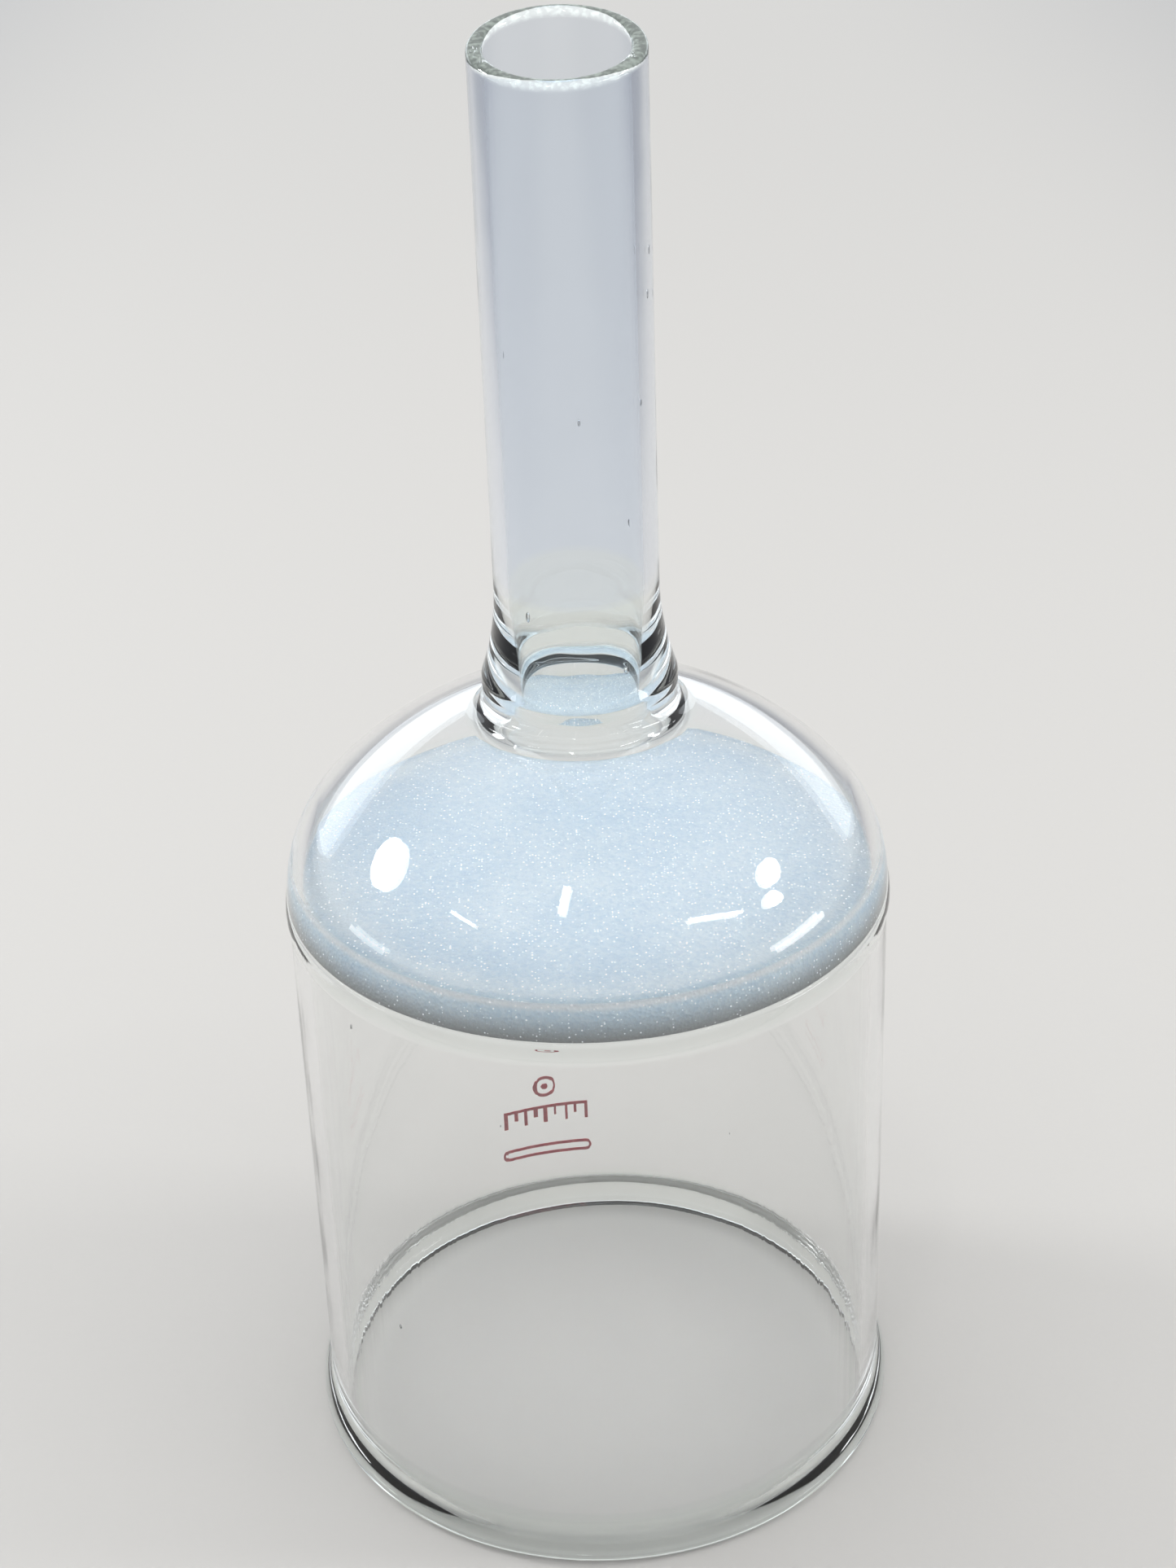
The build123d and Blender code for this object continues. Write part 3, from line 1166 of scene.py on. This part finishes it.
@dataclass
class Seeds:
    """Small drawn-out bubbles left in the wall."""

    datum: Datum
    count: int = 16
    bowl_share: float = 0.6  # how many of them are in the bowl rather than the stem
    sizes: Span = (0.14, 0.30)  # radius, in millimetres
    bowl_reach: Span = (0.1, 0.9)  # share of the tube's height
    stem_reach: Span = (4.0, 84.0)  # millimetres above the collar
    bowl_drawn: float = 2.0
    stem_drawn: float = 3.0
    spread: random.Random = field(default_factory=lambda: random.Random(11))

    def places(self) -> list[tuple[Vector, float, float]]:
        """Where the seeds lie.

        Returns:
            For each seed its middle, its radius and how far it is drawn out.
        """
        d = self.datum
        bowl_middle = d.bowl_radius - d.wall / 2
        stem_middle = d.stem_radius - d.stem_wall / 2
        found = [
            self.at(stem_middle, 232.0, d.collar_top - 2.5 * MM, 0.42 * MM, 2.4),
            self.at(stem_middle, 305.0, d.collar_top - 13.5 * MM, 0.50 * MM, 1.3),
        ]
        while len(found) < self.count:
            turn = self.spread.uniform(0.0, 360.0)
            size = self.spread.uniform(*self.sizes) * MM
            if self.spread.random() < self.bowl_share:
                rise = self.spread.uniform(*self.bowl_reach)
                height = d.rim_top + (d.seal_bottom - d.rim_top) * rise
                found.append(self.at(bowl_middle, turn, height, size, self.bowl_drawn))
            else:
                height = d.collar_top + self.spread.uniform(*self.stem_reach) * MM
                found.append(self.at(stem_middle, turn, height, size, self.stem_drawn))
        return found

    @staticmethod
    def at(
        radius: float, turn: float, height: float, size: float, drawn: float
    ) -> tuple[Vector, float, float]:
        """One seed from its direction round the axis, in degrees."""
        way = math.radians(turn)
        middle = Vector((radius * math.cos(way), radius * math.sin(way), height))
        return middle, size, drawn

    def build(self) -> list[bpy.types.Object]:
        """Models and dresses the seeds.

        Returns:
            One piece that holds them all.
        """
        made = []
        for middle, size, drawn in self.places():
            deselect_all()
            bpy.ops.mesh.primitive_ico_sphere_add(
                subdivisions=3, radius=size, location=(0.0, 0.0, 0.0)
            )
            seed = bpy.context.active_object
            edit(seed)
            bpy.ops.mesh.select_all(action="SELECT")
            bpy.ops.transform.resize(value=(1.0, 1.0, drawn), center_override=(0.0, 0.0, 0.0))
            bpy.ops.transform.translate(value=middle)
            leave()
            made.append(seed)
        deselect_all()
        for seed in made:
            seed.select_set(True)
        bpy.context.view_layer.objects.active = made[0]
        bpy.ops.object.join()
        piece = bpy.context.active_object
        piece.name = piece.data.name = "glass_seeds"
        dress(piece, SeedAir().make())
        return [settle(piece, Slot.GLASS)]


@dataclass
class Marks:
    """Enamel marks on the bowl, as the CAD has them."""

    nodes: tuple[str, ...] = ("capacity_mark", "grade_mark", "name_bar")

    def build(self, frame: dict[str, Any]) -> None:
        """Dresses the marks.

        Args:
            frame: The loaded frame.
        """
        enamel = RedEnamel().make()
        for node in self.nodes:
            mesh = frame["nodes"][node].data
            mesh.materials.clear()
            mesh.materials.append(enamel)
            LOG.info("%s: enamel", node)


# ---- the studio -------------------------------------------------------------------


@dataclass(frozen=True)
class Lamp:
    """A soft lamp of a given brightness, which the crown mirrors as a highlight."""

    name: str
    seat: tuple[float, float, float]
    size: tuple[float, float]
    bright: float
    spin: float = 0.0
    tone: Colour = WHITE
    shape: str = "RECTANGLE"

    def place(self, aim: Vector) -> None:
        """Adds the lamp, turned towards a point.

        Args:
            aim: The point that it faces.
        """
        light = bpy.data.lights.new(self.name, "AREA")
        light.shape = self.shape
        light.size, light.size_y = self.size
        light.color = self.tone
        light.energy = self.bright * math.pi * self.size[0] * self.size[1]
        holder = bpy.data.objects.new(self.name, light)
        bpy.context.scene.collection.objects.link(holder)
        seat = Vector(self.seat)
        turn = (aim - seat).to_track_quat("-Z", "Y").to_matrix().to_4x4()
        spin = Matrix.Rotation(math.radians(self.spin), 4, "Z")
        holder.matrix_world = Matrix.Translation(seat) @ turn @ spin
        holder.visible_camera = False


LAMPS = (
    Lamp("window", (-0.998, 0.274, 0.791), (0.32, 0.23), 22.0, 0.0, (0.97, 0.985, 1.0), "ELLIPSE"),
    Lamp("box_high", (1.000, 0.055, 0.880), (0.20, 0.13), 22.0, -14.0, shape="ELLIPSE"),
    Lamp("box_low", (1.030, -0.110, 0.780), (0.16, 0.15), 22.0, 10.0, shape="ELLIPSE"),
    Lamp("strip_right", (0.773, -0.438, 0.987), (0.40, 0.026), 20.0, 150.0),
    Lamp("strip_front", (-0.150, -0.521, 1.235), (0.050, 0.19), 20.0),
    Lamp("strip_left", (-0.762, -0.411, 1.009), (0.20, 0.02), 12.0, 8.0),
    Lamp("veil_left", (-0.95, 1.75, 0.50), (1.9, 0.70), 1.0, 0.0, (0.86, 0.94, 1.0), "ELLIPSE"),
    Lamp("veil_right", (0.95, 1.75, 0.46), (1.9, 0.60), 0.9, 0.0, (0.86, 0.94, 1.0), "ELLIPSE"),
    Lamp("low_left", (-1.60, -0.10, 0.22), (0.5, 0.10), 4.0, 0.0, (0.95, 0.975, 1.0)),
    Lamp("low_right", (1.60, -0.25, 0.22), (0.7, 0.12), 8.0),
)

SKY: tuple[tuple[float, Colour], ...] = (
    (0.0, (0.54, 0.545, 0.56)),
    (0.16, (0.60, 0.61, 0.63)),
    (0.45, (0.68, 0.695, 0.72)),
    (1.0, (0.86, 0.87, 0.89)),
)


@dataclass
class Studio:
    """Floor, light and camera."""

    floor_size: float = 60.0
    floor_gap: float = 0.05 * MM
    lens: float = 63.93
    tilt: float = 29.22
    roll: float = -2.045
    distance: float = 521.3 * MM
    aside: float = 0.8 * MM
    aim_drop: float = 0.4 * MM
    sensor: float = 36.0
    clip_end: float = 50.0
    sky_strength: float = 1.45
    glass_bounces: int = 64  # light goes round inside a wall many times
    glossy_bounces: int = 8
    clear_bounces: int = 32

    def build(self, low: Vector, high: Vector) -> None:
        """Sets the scene round the object.

        Args:
            low: Lowest corner of the object.
            high: Highest corner of the object.
        """
        middle = (low + high) / 2
        self.floor(low.z)
        self.world()
        for lamp in LAMPS:
            lamp.place(middle)
        self.camera(middle)
        scene = bpy.context.scene
        scene.view_settings.view_transform = "Standard"
        scene.cycles.max_bounces = self.glass_bounces
        scene.cycles.transmission_bounces = self.glass_bounces
        scene.cycles.glossy_bounces = self.glossy_bounces
        scene.cycles.transparent_max_bounces = self.clear_bounces

    def floor(self, height: float) -> None:
        """Adds the floor just under the object."""
        deselect_all()
        bpy.ops.mesh.primitive_plane_add(
            size=self.floor_size, location=(0.0, 0.0, height - self.floor_gap)
        )
        floor = bpy.context.active_object
        floor.name = "studio_floor"
        floor.data.materials.append(PaleFloor().make())
        floor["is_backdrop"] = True

    def world(self) -> None:
        """Even light from above that greys towards the horizon."""
        world = bpy.data.worlds.new("studio_light")
        bpy.context.scene.world = world
        recipe = Recipe(world)
        coords = Signal(recipe, recipe.node("ShaderNodeTexCoord").outputs["Generated"])
        split = recipe.node("ShaderNodeSeparateXYZ", None, {0: coords})
        height = Signal(recipe, split.outputs[2])
        ramp = recipe.node("ShaderNodeValToRGB", {"stops": SKY}, {0: height})
        recipe.surface(
            {"Color": Signal(recipe, ramp.outputs[0]), "Strength": self.sky_strength},
            "ShaderNodeBackground",
        )

    def camera(self, middle: Vector) -> None:
        """Adds the camera, looking down on the front of the funnel."""
        data = bpy.data.cameras.new("camera")
        data.lens = self.lens
        data.sensor_width = self.sensor
        data.clip_end = self.clip_end
        camera = bpy.data.objects.new("camera", data)
        bpy.context.scene.collection.objects.link(camera)
        tilt = math.radians(self.tilt)
        aim = Vector((self.aside, 0.0, middle.z - self.aim_drop))
        seat = aim + self.distance * Vector((0.0, -math.cos(tilt), math.sin(tilt)))
        pitch = Matrix.Rotation(math.pi / 2 - tilt, 4, "X")
        roll = Matrix.Rotation(math.radians(self.roll), 4, "Z")
        camera.matrix_world = Matrix.Translation(seat) @ pitch @ roll
        bpy.context.scene.camera = camera


def main() -> None:
    """Builds the funnel piece by piece, then the studio."""
    logging.basicConfig(level=logging.INFO, format="%(name)s: %(message)s")
    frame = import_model()
    cad_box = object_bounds()
    low, high = (Vector(corner) for corner in cad_box)
    datum = Datum.read()
    inside = WeldFace().make()
    pieces = [
        *Bowl(datum).build(inside),
        *DiscAndSeal(datum).build(inside),
        *Shoulder(datum).build(inside),
        *Stem(datum).build(inside),
        *Seeds(datum).build(),
    ]
    LOG.info("%d glass pieces modelled", len(pieces))
    Marks().build(frame)
    Studio().build(low, high)


if __name__ == "__main__":
    main()
